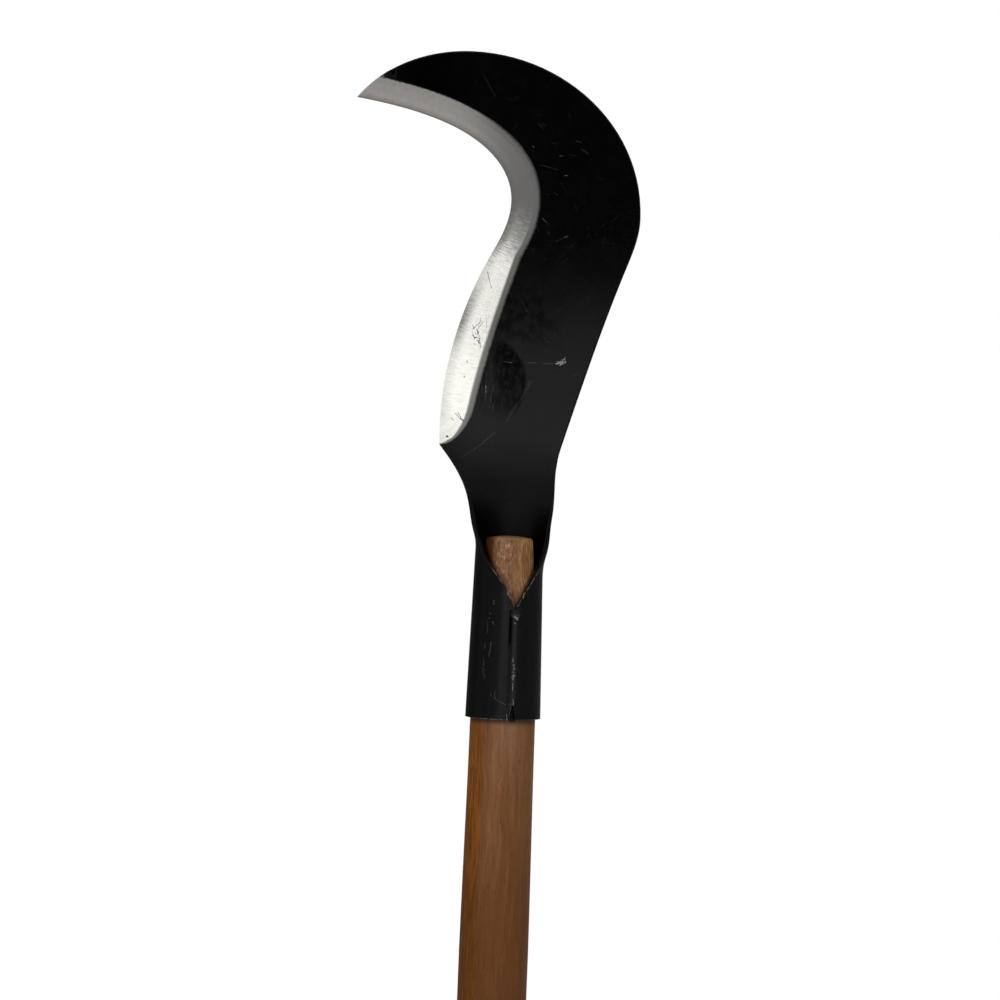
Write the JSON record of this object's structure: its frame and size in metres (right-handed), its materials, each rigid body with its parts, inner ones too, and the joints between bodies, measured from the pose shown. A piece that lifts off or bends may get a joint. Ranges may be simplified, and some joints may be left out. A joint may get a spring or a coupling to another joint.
{
  "type": "billhook",
  "caption": "Long-handled billhook: hooked blade with ground bevel, rolled from one black steel plate into a split conical socket, welded at the seam and screwed to a round wooden pole.",
  "frame": {"origin": "centre of the pole's butt face", "axes": "+Z along the pole towards the blade, -Y out of the blade's front face, -X the way the hook points"},
  "size_m": [0.1502, 0.0424, 1.2517],
  "materials": {
    "black_plate": "satin black paint, bevel ground bright",
    "black_weld": "painted weld bead",
    "pole_wood": "reddish brown, thinly varnished",
    "screw_zinc": "zinc plated"
  },
  "bodies": {
    "root": {"blade_head": "black_plate", "seam_weld": "black_weld", "pole": "pole_wood", "fixing_screw": "screw_zinc"}
  },
  "joints": []
}
